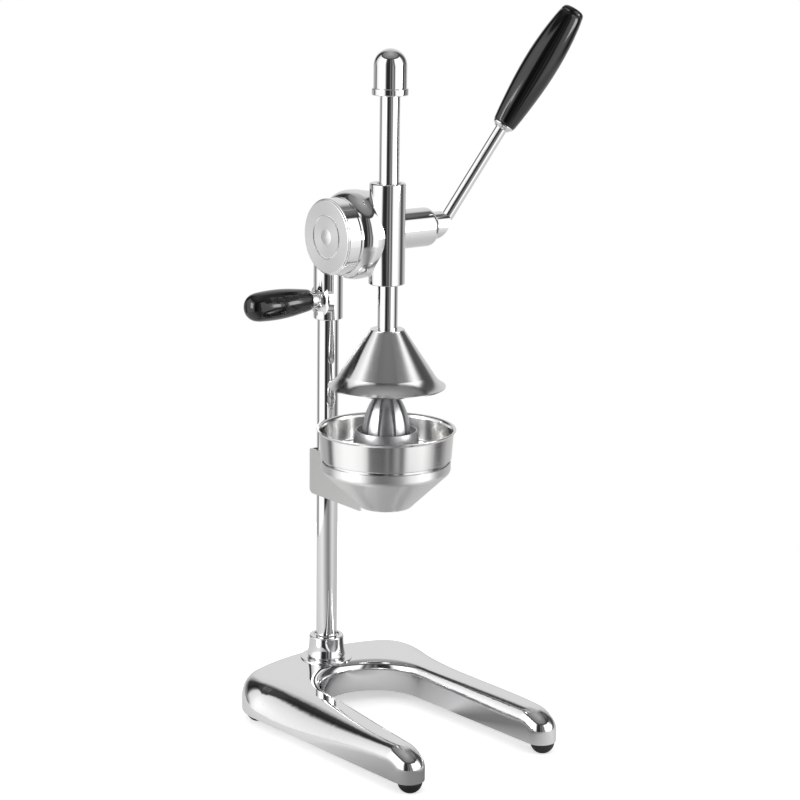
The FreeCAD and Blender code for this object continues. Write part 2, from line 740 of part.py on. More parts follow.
def bore_head(body):
    """Everything that the casting is bored and tapped for."""
    column = new_sketch(body, "XY_Plane", "column_hole", lift="sleeve_bottom")
    add_circle(column, "column_radius + clearance")
    pocket(column, "column_bore", "column_top - sleeve_bottom", Reversed=True)
    ram = new_sketch(body, "XY_Plane", "ram_hole", shift_y=RAM_Y, lift="guide_bottom")
    add_circle(ram, "ram_radius + 0.6")
    pocket(ram, "ram_bore", "guide_top - guide_bottom", Reversed=True)
    for name, low in (("low_bush", "guide_bottom"), ("high_bush", "guide_top - guide_bush_length")):
        seat = new_sketch(body, "XY_Plane", name, shift_y=RAM_Y, lift=low)
        add_circle(seat, "guide_bush_radius + clearance")
        pocket(seat, name + "_seat", "guide_bush_length", Reversed=True)
    gears = new_sketch(body, "XZ_Plane", "chamber", shift_y="shaft_height", lift=f"0 - ({SHAFT_Y})")
    add_outline(gears, [
        ("case_flange_x", "0"),
        ("boss_end", "0"),
        ("boss_end", "bush_radius + clearance"),
        ("chamber_end", "bush_radius + clearance"),
        ("chamber_end", "chamber_radius"),
        ("case_flange_x + 4", "chamber_radius"),
        ("case_flange_x + 4", "cover_spigot_radius + clearance"),
        ("case_flange_x", "cover_spigot_radius + clearance"),
    ])
    turned(gears, "gear_chamber", "H_Axis", kind="Groove")
    screw = new_sketch(body, "YZ_Plane", "screw_hole", shift_y="set_screw_height",
                       lift="0 - sleeve_radius - 1")
    add_circle(screw, "set_screw_radius + clearance")
    pocket(screw, "screw_tapping", "sleeve_radius + 1 - column_radius", Reversed=True)
    stud = new_sketch(body, "XZ_Plane", "stud_hole", shift_y="steady_height")
    stud.AttachmentOffset = neck_offset()
    add_outline(stud, [
        ("-1 * steady_neck_end", "0"),
        ("0 - column_radius - 1", "0"),
        ("0 - column_radius - 1", "steady_stud_radius + clearance"),
        ("-1 * steady_neck_end", "steady_stud_radius + clearance"),
    ])
    turned(stud, "stud_bore", "H_Axis", kind="Groove")


def neck_offset():
    """The steady handle's own line, which rises a little away from the column."""
    tilt = FreeCAD.Rotation(UP, -size("steady_tilt"))
    return FreeCAD.Placement(FreeCAD.Vector(0, size("steady_height"), 0), tilt)


def on_shaft(item):
    place(item, "0", SHAFT_Y, "shaft_height")


def make_cover():
    """A turned lid with a ring groove, and a button over the end of the shaft."""
    face, wall = "cover_face_x", "cover_wall"
    on_shaft(turned_piece("gear_cover", [
        (f"{face} + 1.6", "0"),
        (f"{face} + 1.6", "cover_button_radius + clearance"),
        (face, "cover_button_radius + clearance"),
        (face, "cover_ring_radius - 0.8"),
        (f"{face} + 0.9", "cover_ring_radius"),
        (face, "cover_ring_radius + 0.8"),
        (face, "cover_radius - 2"),
        (f"{face} + 1", "cover_radius - 1", "-1"),
        (f"{face} + 1.4", "cover_radius - 1"),
        (f"{face} + 2.4", "cover_radius", "-1"),
        ("case_flange_x", "cover_radius"),
        ("case_flange_x", "cover_spigot_radius"),
        ("case_flange_x + 3.5", "cover_spigot_radius"),
        ("case_flange_x + 3.5", f"cover_spigot_radius - {wall}"),
        (f"{face} + {wall} + 0.5", f"cover_spigot_radius - {wall}"),
        (f"{face} + {wall} + 0.5", "bush_radius + 4"),
        ("case_flange_x", "bush_radius + 4"),
        ("case_flange_x", "bush_radius + clearance"),
        (f"{face} + 4.5", "bush_radius + clearance"),
        (f"{face} + 4.5", "0"),
    ], upright=False))
    on_shaft(turned_piece("cover_button", [
        (f"{face} + 1.6", "0"),
        (f"{face} - 0.3", "0"),
        (f"{face} + 0.2", "cover_button_radius", f"-1 * {dome('cover_button_radius', '0.5')}"),
        (f"{face} + 1.6", "cover_button_radius"),
    ], upright=False))


def make_bushes():
    """Flanged bushes for the pinion shaft and plain ones for the ram."""
    inside = "shaft_radius + clearance"
    spans = {
        "shaft_bush_left": ("case_flange_x", "-1", "cover_face_x + 4.7"),
        "shaft_bush_inner": ("chamber_end", "1", "chamber_end + 16"),
        "shaft_bush_outer": ("boss_end", "-1", "boss_end - 18"),
    }
    for label, (flange, outward, far) in spans.items():
        if label == "shaft_bush_outer":
            profile = [(flange, inside), (far, inside), (far, "bush_radius"), (flange, "bush_radius")]
        elif label == "shaft_bush_inner":
            lip = f"{flange} - 1.5"
            profile = [(lip, inside), (far, inside), (far, "bush_radius"), (flange, "bush_radius"),
                       (flange, "bush_flange_radius"), (lip, "bush_flange_radius")]
        else:
            lip = f"{flange} + 1.5"
            profile = [(far, inside), (lip, inside), (lip, "bush_flange_radius"),
                       (flange, "bush_flange_radius"), (flange, "bush_radius"), (far, "bush_radius")]
        on_shaft(turned_piece(label, profile, upright=False))
    ends = {"guide_bush_lower": "guide_bottom", "guide_bush_upper": "guide_top - guide_bush_length"}
    for label, low in ends.items():
        bush = tube(label, "guide_bush_radius", "ram_radius + clearance", low, f"{low} + guide_bush_length")
        place(bush, "0", RAM_Y)


def make_shaft():
    """The shaft that the lever turns, with its keyway and its circlip groove."""
    start, ring = "cover_face_x + 5", "0 - pinion_width / 2 - 1.4"
    profile = [
        (start, "0"),
        ("shaft_end", "0"),
        ("shaft_end", "shaft_radius - 1"),
        ("shaft_end - 1", "shaft_radius"),
        (f"{ring} + 1.3", "shaft_radius"),
        (f"{ring} + 1.3", "shaft_radius - 0.7"),
        (ring, "shaft_radius - 0.7"),
        (ring, "shaft_radius"),
        (f"{start} + 1", "shaft_radius"),
        (start, "shaft_radius - 1"),
    ]
    shaft = turned_piece("pinion_shaft", profile, upright=False)
    way = new_sketch(shaft, "XY_Plane", "keyway", lift="shaft_radius")
    add_rectangle(way, "pinion_width - 1", "key_width + 2 * clearance")
    pocket(way, "keyway_cut", "key_width / 2 + clearance")
    on_shaft(shaft)
    key = new_body("shaft_key")
    bar = new_sketch(key, "XY_Plane", "bar", lift="shaft_radius - key_width / 2")
    add_rectangle(bar, "pinion_width - 1.2", "key_width")
    pad(bar, "bar_pad", "key_width - 0.2")
    on_shaft(key)
    clip = new_body("retaining_ring")
    ring_sketch = new_sketch(clip, "YZ_Plane", "ring", lift=f"{ring} + 0.05")
    add_circle(ring_sketch, "circlip_radius")
    add_circle(ring_sketch, "shaft_radius - 0.65")
    pad(ring_sketch, "ring_pad", "1.2")
    gap = new_sketch(clip, "YZ_Plane", "gap", lift=f"{ring} + 0.05")
    add_outline(gap, [("-1.5", "0"), ("1.5", "0"), ("1.5", "-1 * circlip_radius - 1"),
                      ("-1.5", "-1 * circlip_radius - 1")])
    pocket(gap, "ring_gap", "1.2", Reversed=True)
    on_shaft(clip)


def add_rectangle(drawing, length, width):
    """A rectangle about the sketch's own origin."""
    x, y = f"({length}) / 2", f"({width}) / 2"
    add_outline(drawing, [(f"-1 * {x}", f"-1 * {y}"), (x, f"-1 * {y}"), (x, y), (f"-1 * {x}", y)])


def make_pinion():
    """Involute teeth of 20 degrees: each flank is a curve through points of the involute."""
    teeth = int(size("pinion_teeth"))
    pitch = size("tooth_module * pinion_teeth / 2")
    outer = pitch + size("tooth_module")
    root = pitch - 1.25 * size("tooth_module")
    base = pitch * math.cos(math.radians(20))
    half_tooth = (math.pi * size("tooth_module") / 2 - size("tooth_backlash")) / 2 / pitch

    def involute(radius):
        pressure = math.acos(min(base / radius, 1.0))
        return math.tan(pressure) - pressure

    def flank_point(radius, side, middle):
        angle = middle + side * (half_tooth + involute(pitch) - involute(radius))
        return FreeCAD.Vector(0, radius * math.cos(angle), radius * math.sin(angle))

    edges = []
    start_radius = max(base, root + 0.3)
    radii = [start_radius + (outer - start_radius) * share for share in (0, 0.5, 1)]
    step = 2 * math.pi / teeth
    for number in range(teeth):
        middle = math.pi + number * step
        rise = [flank_point(radius, -1, middle) for radius in radii]
        fall = [flank_point(radius, 1, middle) for radius in reversed(radii)]
        crown = FreeCAD.Vector(0, outer * math.cos(middle), outer * math.sin(middle))
        edges.append(Part.Arc(*rise).toShape())
        edges.append(Part.Arc(rise[-1], crown, fall[0]).toShape())
        edges.append(Part.Arc(*fall).toShape())
        following = flank_point(radii[0], -1, middle + step)
        bottom = middle + step / 2
        valley = FreeCAD.Vector(0, root * math.cos(bottom), root * math.sin(bottom))
        edges.append(Part.Arc(fall[-1], valley, following).toShape())
    width = size("pinion_width")
    disc = Part.Face(Part.Wire(edges)).extrude(FreeCAD.Vector(width, 0, 0))
    disc.translate(FreeCAD.Vector(-width / 2, 0, 0))
    along = FreeCAD.Vector(1, 0, 0)
    start = FreeCAD.Vector(-width, 0, 0)
    bore = Part.makeCylinder(size("shaft_radius + clearance / 2"), 2 * width, start, along)
    key = size("key_width") + 2 * size("clearance")
    key_top = size("shaft_radius + key_width / 2")
    slot = Part.makeBox(2 * width, key, key_top, FreeCAD.Vector(-width, -key / 2, 0))
    pinion = document.addObject("Part::Feature", "pinion")
    pinion.Label = "pinion"
    pinion.Shape = disc.cut(bore).cut(slot)
    on_shaft(pinion)


def make_ram():
    """A round bar with a rack cut along its back."""
    body = turned_piece("ram", [
        ("0", "ram_bottom"),
        ("ram_radius", "ram_bottom"),
        ("ram_radius", "ram_shoulder"),
        ("spigot_radius", "ram_shoulder"),
        ("spigot_radius", "ram_shoulder + spigot_length - 1"),
        ("spigot_radius - 1", "ram_shoulder + spigot_length"),
        ("0", "ram_shoulder + spigot_length"),
    ])
    pitch = "(tooth_module * pi)"
    half_run = f"((rack_gaps - 1) / 2 * {pitch} + 3)"
    flat = new_sketch(body, "YZ_Plane", "flat", shift_y="shaft_height")
    crest = "rack_pitch_line + tooth_module"
    add_outline(flat, [(crest, f"-1 * {half_run}"), ("ram_radius + 1", f"-1 * {half_run}"),
                       ("ram_radius + 1", half_run), (crest, half_run)])
    pocket(flat, "rack_flat", "2 * ram_radius + 2", Midplane=True)
    gap = new_sketch(body, "YZ_Plane", "tooth_gap", shift_y=f"shaft_height - (rack_gaps - 1) / 2 * {pitch}")
    deep, wide = "rack_pitch_line - 1.25 * tooth_module", "ram_radius + 1"
    bottom = f"({pitch} / 4 - 1.25 * tooth_module * tan(20))"
    mouth = f"({pitch} / 4 + (ram_radius + 1 - rack_pitch_line) * tan(20))"
    add_outline(gap, [(deep, f"-1 * {bottom}"), (wide, f"-1 * {mouth}"), (wide, mouth), (deep, bottom)])
    cut = pocket(gap, "tooth_cut", "2 * ram_radius + 2", Midplane=True)
    repeated(body, cut, "LinearPattern", "rack", Direction=(origin_part(body, "Z_Axis"), [""]),
             Length=f"(rack_gaps - 1) * {pitch}", Occurrences=int(size("rack_gaps")))
    tapped = new_sketch(body, "XY_Plane", "tapping", lift="ram_bottom")
    add_circle(tapped, "cup_screw_radius + clearance")
    pocket(tapped, "tapped_hole", "cup_screw_length", Reversed=True)
    place(body, "0", RAM_Y)


def make_acorn():
    side = "acorn_radius"
    bore = "spigot_radius + clearance"
    place(turned_piece("ram_cap", [
        ("ram_radius + clearance", "acorn_brim_bottom"),
        ("acorn_brim_radius - 1.2", "acorn_brim_bottom"),
        ("acorn_brim_radius", "acorn_brim_bottom + 1.2", "1.2"),
        ("acorn_brim_radius", "acorn_brim_bottom + acorn_brim_height - 1.4"),
        (side, "acorn_brim_bottom + acorn_brim_height", "1.4"),
        (side, "acorn_top - acorn_radius"),
        ("0", "acorn_top", "acorn_radius"),
        ("0", "ram_shoulder + spigot_length + 0.5"),
        (bore, "ram_shoulder + spigot_length + 0.5"),
        (bore, "ram_shoulder + clearance"),
        ("ram_radius + clearance", "ram_shoulder + clearance"),
    ]), "0", RAM_Y)


def make_cup():
    """A spun bell whose skirt flares out to a narrow lip, held by a screw up into the ram."""
    wall = "cup_wall"
    place(turned_piece("press_cup", [
        ("cup_screw_radius + 0.3", "ram_bottom"),
        ("cup_crown_radius - 1", "ram_bottom"),
        ("cup_crown_radius", "ram_bottom - 1", "-1"),
        ("cup_skirt_radius", "cup_skirt_height"),
        ("cup_lip_radius", "cup_lip_height + 1", "26"),
        ("cup_lip_radius", "cup_lip_height"),
        (f"cup_lip_radius - {wall} - 1", "cup_lip_height"),
        (f"cup_skirt_radius - {wall}", f"cup_skirt_height - {wall} / 2", "-26"),
        (f"cup_crown_radius - {wall}", "ram_bottom - cup_crown_thickness - 0.5"),
        (f"cup_crown_radius - {wall} - 1", "ram_bottom - cup_crown_thickness", "1.2"),
        ("cup_screw_radius + 0.3", "ram_bottom - cup_crown_thickness"),
    ]), "0", RAM_Y)
    ceiling = "ram_bottom - cup_crown_thickness"
    place(tube("cup_washer", "cup_washer_radius", "cup_screw_radius + 0.3", f"{ceiling} - 1.5", ceiling),
          "0", RAM_Y)
    place(turned_piece("cup_screw", [
        ("0", f"{ceiling} - 5.5"),
        ("cup_screw_head - 2", f"{ceiling} - 5.5"),
        ("cup_screw_head", f"{ceiling} - 3.5", "2"),
        ("cup_screw_head", f"{ceiling} - 1.5"),
        ("cup_screw_radius", f"{ceiling} - 1.5"),
        ("cup_screw_radius", f"{ceiling} + cup_screw_length"),
        ("0", f"{ceiling} + cup_screw_length"),
    ]), "0", RAM_Y)


def lever_turn():
    """Lean out to the right first, then forward."""
    forward = FreeCAD.Rotation(FreeCAD.Vector(1, 0, 0), size("lever_lean_forward"))
    outward = FreeCAD.Rotation(FreeCAD.Vector(0, 1, 0), size("lever_lean_out"))
    return forward * outward


def on_lever(item):
    place(item, "hub_x", SHAFT_Y, "shaft_height", turn=lever_turn())


def add_solid(kind, name, **fields):
    item = document.addObject("Part::" + kind, name)
    for field, expression in fields.items():
        bind(item, field, expression)
    return item


def make_hub():
    """A knuckle on the end of the shaft, rounded below and faced off square to the rod."""
    barrel = add_solid("Cylinder", "hub_barrel", Radius="hub_radius", Height="hub_ball_radius")
    barrel.Placement.Rotation = FreeCAD.Rotation(FreeCAD.Vector(0, 1, 0), 90)
    bind(barrel, "Placement.Base.x", "hub_start - hub_x")
    ball = add_solid("Sphere", "hub_ball", Radius="hub_ball_radius")
    bind(ball, "Placement.Base.x", "hub_start - hub_x")
    bind(ball, "Placement.Base.z", "hub_ball_rise")
    solid = document.addObject("Part::Common", "hub_solid")
    solid.Base, solid.Tool = barrel, ball
    facing = add_solid("Box", "hub_facing", Length="40", Width="40", Height="20")
    socket = add_solid("Cylinder", "hub_socket", Radius="rod_radius + clearance", Height="30")
    bore = add_solid("Cylinder", "hub_bore", Radius="shaft_radius + clearance / 2",
                     Height="shaft_end - hub_start + 1")
    turn = lever_turn()
    face_centre = turn.multVec(FreeCAD.Vector(-20, -20, size("hub_seat")))
    facing.Placement = FreeCAD.Placement(face_centre, turn)
    socket_foot = turn.multVec(FreeCAD.Vector(0, 0, size("shaft_radius + rod_root")))
    socket.Placement = FreeCAD.Placement(socket_foot, turn)
    bore.Placement.Rotation = FreeCAD.Rotation(FreeCAD.Vector(0, 1, 0), 90)
    bind(bore, "Placement.Base.x", "hub_start - hub_x - 1")
    screw = add_solid("Cylinder", "hub_screw_hole", Radius="set_screw_radius + clearance", Height="20")
    screw.Placement.Rotation = FreeCAD.Rotation(FreeCAD.Vector(1, 0, 0), 180)
    bind(screw, "Placement.Base.x", "(hub_start - hub_x) / 2")
    document.recompute()
    cut = solid
    for number, tool in enumerate((facing, socket, bore, screw)):
        last = number == 3
        result = document.addObject("Part::Cut", "lever_hub" if last else f"hub_cut_{number}")
        result.Base, result.Tool = cut, tool
        cut = result
    cut.Label = "lever_hub"
    place(cut, "hub_x", SHAFT_Y, "shaft_height")
    grub = new_body("hub_set_screw")
    drawing = new_sketch(grub, "XY_Plane", "grub", lift="0 - hub_radius + hub_screw_depth")
    add_circle(drawing, "set_screw_radius")
    pad(drawing, "grub_pad", "hub_radius - hub_screw_depth - shaft_radius - clearance")
    place(grub, "(hub_start + hub_x) / 2", SHAFT_Y, "shaft_height")


def make_lever():
    """The rod, its chrome ferrule, and the moulded grip with its end cap."""
    on_lever(turned_piece("lever_rod", [
        ("0", "shaft_radius + rod_root + 0.3"),
        ("rod_radius - 0.6", "shaft_radius + rod_root + 0.3"),
        ("rod_radius", "shaft_radius + rod_root + 0.9"),
        ("rod_radius", "grip_end - 25"),
        ("0", "grip_end - 25"),
    ]))
    hole = "rod_radius + clearance"
    on_lever(turned_piece("lever_ferrule", [
        (hole, "ferrule_start"),
        ("rod_radius + 1.2", "ferrule_start"),
        ("ferrule_radius - 0.6", "grip_start - 1.6", "-9"),
        ("ferrule_radius", "grip_start - 1"),
        ("ferrule_radius", "grip_start"),
        (hole, "grip_start"),
    ]))
    belly = "grip_start + (grip_end - grip_start) * 0.55"
    seam = "grip_end - grip_cap_length"
    on_lever(turned_piece("lever_grip", [
        (hole, "grip_start"),
        ("grip_neck_radius - 0.8", "grip_start"),
        ("grip_neck_radius", "grip_start + 1"),
        ("grip_belly_radius", belly, "grip_curve"),
        ("grip_tail_radius + 0.4", seam, "grip_curve_tail"),
        ("grip_tail_radius - 4", seam),
        ("grip_tail_radius - 4", "grip_end - 22"),
        (hole, "grip_end - 22"),
    ]))
    on_lever(turned_piece("grip_cap", [
        ("0", "grip_end - 15"),
        ("grip_tail_radius - 4 - clearance", "grip_end - 15"),
        ("grip_tail_radius - 4 - clearance", f"{seam} + clearance"),
        ("grip_tail_radius + 0.2", f"{seam} + clearance"),
        ("grip_tail_radius - 0.5", "grip_end - 2"),
        ("grip_tail_radius - 2.5", "grip_end", "2"),
        ("0", "grip_end"),
    ]))


def on_steady(item):
    tilt = FreeCAD.Rotation(FreeCAD.Vector(0, 1, 0), size("steady_tilt"))
    place(item, "0", "0", "steady_height", turn=tilt)


def make_steady_handle():
    """The handle that the other hand holds."""
    near, far = "-1 * (steady_neck_end + clearance)", "-1 * steady_grip_end"
    stud_end = "-1 * steady_grip_end + 20"
    on_steady(turned_piece("steady_stud", [
        (stud_end, "0"),
        ("0 - column_radius - 1.5", "0"),
        ("0 - column_radius - 1.5", "steady_stud_radius"),
        (stud_end, "steady_stud_radius"),
    ], upright=False))
    belly = "-1 * steady_grip_end + 20"
    on_steady(turned_piece("steady_grip", [
        (far, "0"),
        (f"{stud_end} - 1", "0"),
        (f"{stud_end} - 1", "steady_stud_radius + clearance"),
        (near, "steady_stud_radius + clearance"),
        (near, "steady_grip_neck - 0.8"),
        (f"{near} - 1", "steady_grip_neck"),
        (belly, "steady_grip_belly", "steady_curve"),
        (f"{far} + 1.5", "5.5", "15"),
        (far, "3", "3.5"),
    ], upright=False))
    grub = new_body("head_set_screw")
    drawing = new_sketch(grub, "YZ_Plane", "grub", lift="0 - sleeve_radius + 0.6")
    add_circle(drawing, "set_screw_radius")
    pad(drawing, "grub_pad", "sleeve_radius - 0.6 - column_radius - clearance")
    place(grub, "0", "0", "set_screw_height")


def make_bowl():
    """The strainer bowl: a rolled lip, a pierced floor and a skirt that drops into the funnel."""
    wall, hole = "bowl_wall", "reamer_peg_radius + clearance"
    skirt_bottom = "funnel_shoulder + 0.4"
    body = turned_piece("strainer_bowl", [
        (hole, f"bowl_floor - {wall}"),
        (f"bowl_skirt_radius - {wall}", f"bowl_floor - {wall}"),
        (f"bowl_skirt_radius - {wall}", skirt_bottom),
        ("bowl_skirt_radius", skirt_bottom),
        ("bowl_skirt_radius", "bowl_foot_height"),
        ("bowl_foot_radius - 1", "bowl_foot_height"),
        ("bowl_foot_radius", "bowl_foot_height + 1", "1"),
        ("bowl_radius", "bowl_lip_height - 3.5"),
        ("bowl_lip_radius - 0.8", "bowl_lip_height - 1.4"),
        ("bowl_lip_radius - 0.8", "bowl_lip_height", "0.75"),
        (f"bowl_radius - {wall} + 0.6", "bowl_lip_height - 1.6", "3"),
        (f"bowl_radius - {wall}", "bowl_lip_height - 3.5"),
        (f"bowl_foot_radius - {wall}", "bowl_floor + 1"),
        (f"bowl_foot_radius - {wall} - 1", "bowl_floor", "-1"),
        (hole, "bowl_floor"),
    ])
    for row in ("inner", "outer"):
        drawing = new_sketch(body, "XY_Plane", row + "_row", lift="bowl_floor")
        turn = "180 / strainer_holes" if row == "inner" else "0"
        add_circle(drawing, "strainer_hole_radius",
                   f"strainer_{row}_row * cos({turn})", f"strainer_{row}_row * sin({turn})")
        hole_cut = pocket(drawing, row + "_hole", wall)
        repeated(body, hole_cut, "PolarPattern", row + "_holes", Axis=(origin_part(body, "Z_Axis"), [""]),
                 Angle=360.0, Occurrences=int(size("strainer_holes")))
    place(body, "0", RAM_Y)


def make_reamer():
    """The fluted cone, inside a plain rim that stands in the bowl."""
    floor = "bowl_floor"
    body = turned_piece("reamer", [
        ("0", f"{floor} - bowl_wall - 4"),
        ("reamer_peg_radius", f"{floor} - bowl_wall - 4"),
        ("reamer_peg_radius", floor),
        ("reamer_skirt_radius", floor),
        ("reamer_skirt_radius", f"{floor} + 6"),
        ("reamer_rim_radius + 0.6", "reamer_rim_height - 0.8", "60"),
        ("reamer_rim_radius - 0.6", "reamer_rim_height - 0.8", "0.62"),
        ("reamer_rim_radius - 1.4", f"reamer_rim_height - 9"),
        ("reamer_cone_radius", f"reamer_rim_height - 9"),
        ("reamer_cone_radius", "reamer_rim_height - 4"),
        ("3", "reamer_tip - 1.5", "60"),
        ("0", "reamer_tip", dome("3", "1.5")),
    ])
    flute = new_sketch(body, "XZ_Plane", "flute")
    add_outline(flute, [
        ("reamer_cone_radius + 3", "reamer_rim_height - 6"),
        ("reamer_cone_radius + 3", "reamer_tip + 4"),
        ("6", "reamer_tip + 4"),
        ("6", "reamer_tip - 12"),
        ("reamer_cone_radius - 2.4", "reamer_rim_height - 6", "-70"),
    ])
    cut = pocket(flute, "flute_cut", "3.4", Midplane=True)
    repeated(body, cut, "PolarPattern", "flutes", Axis=(origin_part(body, "Z_Axis"), [""]),
             Angle=360.0, Occurrences=int(size("reamer_flutes")))
    place(body, "0", RAM_Y)


def make_funnel():
    wall = "funnel_wall"
    place(turned_piece("funnel", [
        ("funnel_outlet_radius", "funnel_outlet"),
        ("funnel_radius - 1.5", "funnel_shoulder - 1.5"),
        ("funnel_radius", "funnel_shoulder + 2", "5"),
        ("funnel_radius", "funnel_top - 0.6"),
        (f"funnel_radius - {wall}", "funnel_top - 0.6", "0.61"),
        (f"funnel_radius - {wall}", "funnel_shoulder + 1.5"),
        (f"funnel_radius - {wall} - 1.2", "funnel_shoulder - 1.2", "-5"),
        (f"funnel_outlet_radius - {wall}", "funnel_outlet + 0.6"),
        (f"funnel_outlet_radius - {wall}", "funnel_outlet"),
    ]), "0", RAM_Y)


def make_bracket():
    """A sheet bent round the back of the column, its two cheeks cut to the funnel's slope."""
    body = new_body("bowl_bracket")
    half = "(column_radius + bracket_sheet + clearance)"
    side = new_sketch(body, "YZ_Plane", "cheek")
    corner = "bracket_corner"
    add_outline(side, [
        (half, f"bracket_bottom + {corner}", corner),
        (half, "bracket_top - 2"),
        (f"{half} - 2", "bracket_top", "2"),
        ("-1 * bracket_reach", "bracket_top"),
        ("-1 * bracket_reach", "bracket_bottom"),
        (f"{half} - {corner}", "bracket_bottom"),
    ])
    pad(side, "strap", f"2 * {half}", Midplane=True)
    inside = new_sketch(body, "XY_Plane", "inside", lift="bracket_bottom")
    reach = "(column_radius + clearance)"
    add_outline(inside, [
        (f"-1 * {reach}", reach),
        (f"-1 * {reach}", "-1 * bracket_reach - 1"),
        (reach, "-1 * bracket_reach - 1"),
        (reach, reach),
    ])
    pocket(inside, "inside_cut", "bracket_top - bracket_bottom", Reversed=True)
    slope = new_sketch(body, "YZ_Plane", "slope", shift_x=RAM_Y)
    gap = "funnel_seat_gap"
    add_outline(slope, [
        ("0", "funnel_outlet"),
        (f"funnel_outlet_radius + {gap}", "funnel_outlet"),
        (f"funnel_radius + {gap}", f"funnel_shoulder + {gap}"),
        (f"funnel_radius + {gap}", "bracket_top + 5"),
        ("0", "bracket_top + 5"),
    ])
    turned(slope, "funnel_clearance", "V_Axis", kind="Groove")
    holes = new_sketch(body, "XZ_Plane", "screw_holes", lift=f"0 - {half}")
    for height in BRACKET_SCREWS:
        add_circle(holes, "bracket_screw_radius + clearance", "0", height)
    pocket(holes, "screw_passages", "bracket_sheet + clearance", Reversed=True)
    place(body)
    screws = new_body("bracket_screws")
    head = new_sketch(screws, "XZ_Plane", "heads", lift=f"0 - {half}")
    shank = new_sketch(screws, "XZ_Plane", "shanks", lift=f"0 - {half}")
    for height in BRACKET_SCREWS:
        add_circle(head, "bracket_screw_radius * 1.8", "0", height)
        add_circle(shank, "bracket_screw_radius", "0", height)
    pad(head, "head_pads", "2.5", Reversed=True)
    pad(shank, "shank_pads", "bracket_sheet + column_wall + clearance")
    place(screws)


def drill_column():
    """Two tapped holes in the back of the tube for the bracket's screws."""
    column = document.getObject("column")
    drawing = new_sketch(column, "XZ_Plane", "tapped_holes", lift="0 - column_radius - 1")
    for height in BRACKET_SCREWS:
        add_circle(drawing, "bracket_screw_radius + clearance", "0", height)
    pocket(drawing, "tapping", "column_wall + 3", Reversed=True)


make_base()
make_feet()
make_column()
make_head()
make_cover()
make_bushes()
make_shaft()
make_pinion()
make_ram()
make_acorn()
make_cup()
make_hub()
make_lever()
make_steady_handle()
make_bowl()
make_reamer()
make_funnel()
make_bracket()
drill_column()

document.recompute()
for item in document.Objects:
    if any(state in ("Invalid", "Error") for state in item.State):
        raise ValueError(f"{item.Name} did not build: {item.State}")
for item in MAIN_PIECES:
    if item.Shape.isNull() or not item.Shape.isValid():
        raise ValueError(f"{item.Label} has no sound shape")

os.makedirs("parts", exist_ok=True)
whole = FreeCAD.BoundBox()
for item in MAIN_PIECES:
    item.Shape.exportStep(f"parts/{item.Label}.step")
    whole.add(item.Shape.BoundBox)
    print(f"{item.Label}: {len(item.Shape.Solids)} solid, {item.Shape.Volume / 1000:.2f} cm3")
print(f"{len(MAIN_PIECES)} pieces, box {whole}")
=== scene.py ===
"""The looks of a lever citrus press: a polished chrome casting and tubes, spun steel bowls, black grips."""

import math

import bmesh
import bpy
from mathutils import Matrix, Vector


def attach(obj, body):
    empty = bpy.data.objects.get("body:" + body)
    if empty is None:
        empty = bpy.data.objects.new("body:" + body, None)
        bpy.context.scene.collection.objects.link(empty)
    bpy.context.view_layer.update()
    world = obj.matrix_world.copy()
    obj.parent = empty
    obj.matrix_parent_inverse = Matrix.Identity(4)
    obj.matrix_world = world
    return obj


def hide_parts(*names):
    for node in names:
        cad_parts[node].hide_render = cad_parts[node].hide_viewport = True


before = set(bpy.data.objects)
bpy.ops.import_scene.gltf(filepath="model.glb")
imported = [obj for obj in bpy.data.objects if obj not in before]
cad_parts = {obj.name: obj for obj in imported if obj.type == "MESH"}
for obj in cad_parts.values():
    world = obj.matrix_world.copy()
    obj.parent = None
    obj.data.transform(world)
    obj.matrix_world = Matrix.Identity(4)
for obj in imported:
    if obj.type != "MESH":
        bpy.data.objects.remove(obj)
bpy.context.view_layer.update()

MM = 0.001
UPRIGHT, SIDEWAYS = Vector((0, 0, 1)), Vector((1, 0, 0))
RAM_AXIS = Vector((-48, 12, 0)) * MM
SHAFT_AXIS = Vector((-48, 42.4, 462.3)) * MM
WHITE = (1, 1, 1, 1)


def linear(hex_colour):
    """An sRGB hex colour as linear red, green, blue and alpha."""
    parts = [int(hex_colour[i:i + 2], 16) / 255 for i in (1, 3, 5)]
    return tuple(p / 12.92 if p <= 0.04045 else ((p + 0.055) / 1.055) ** 2.4 for p in parts) + (1.0,)


def add(tree, kind, sockets=None, **settings):
    """One node: its sockets are given a value or linked to another node's output."""
    node = tree.nodes.new("ShaderNode" + kind)
    for name, value in settings.items():
        setattr(node, name, value)
    for name, value in (sockets or {}).items():
        if isinstance(value, bpy.types.NodeSocket):
            tree.links.new(value, node.inputs[name])
        else:
            node.inputs[name].default_value = value
    return node


def new_material(name):
    """An empty material and its node tree, ready for a shader and an output."""
    material = bpy.data.materials.new(name)
    material.use_nodes = True
    material.node_tree.nodes.clear()
    return material, material.node_tree


def ramp(tree, factor, stops):
    """A colour ramp from (place, grey) pairs."""
    node = add(tree, "ValToRGB", {"Fac": factor})
    band = node.color_ramp
    while len(band.elements) < len(stops):
        band.elements.new(0.5)
    for element, (place, grey) in zip(band.elements, sorted(stops)):
        element.position = place
        element.color = (grey, grey, grey, 1.0)
    return node


# Materials

# Steel off a lathe: the depth of a fine ring, the roughness of a buffed edge and how far it takes to fade in.
RING_DEPTH_MM, BUFFED, BUFFED_FADE_MM = 0.0015, 0.07, 0.3


def per_patch(size_mm):
    """The scale of a noise whose patches are about this size."""
    return 1 / (size_mm * MM)


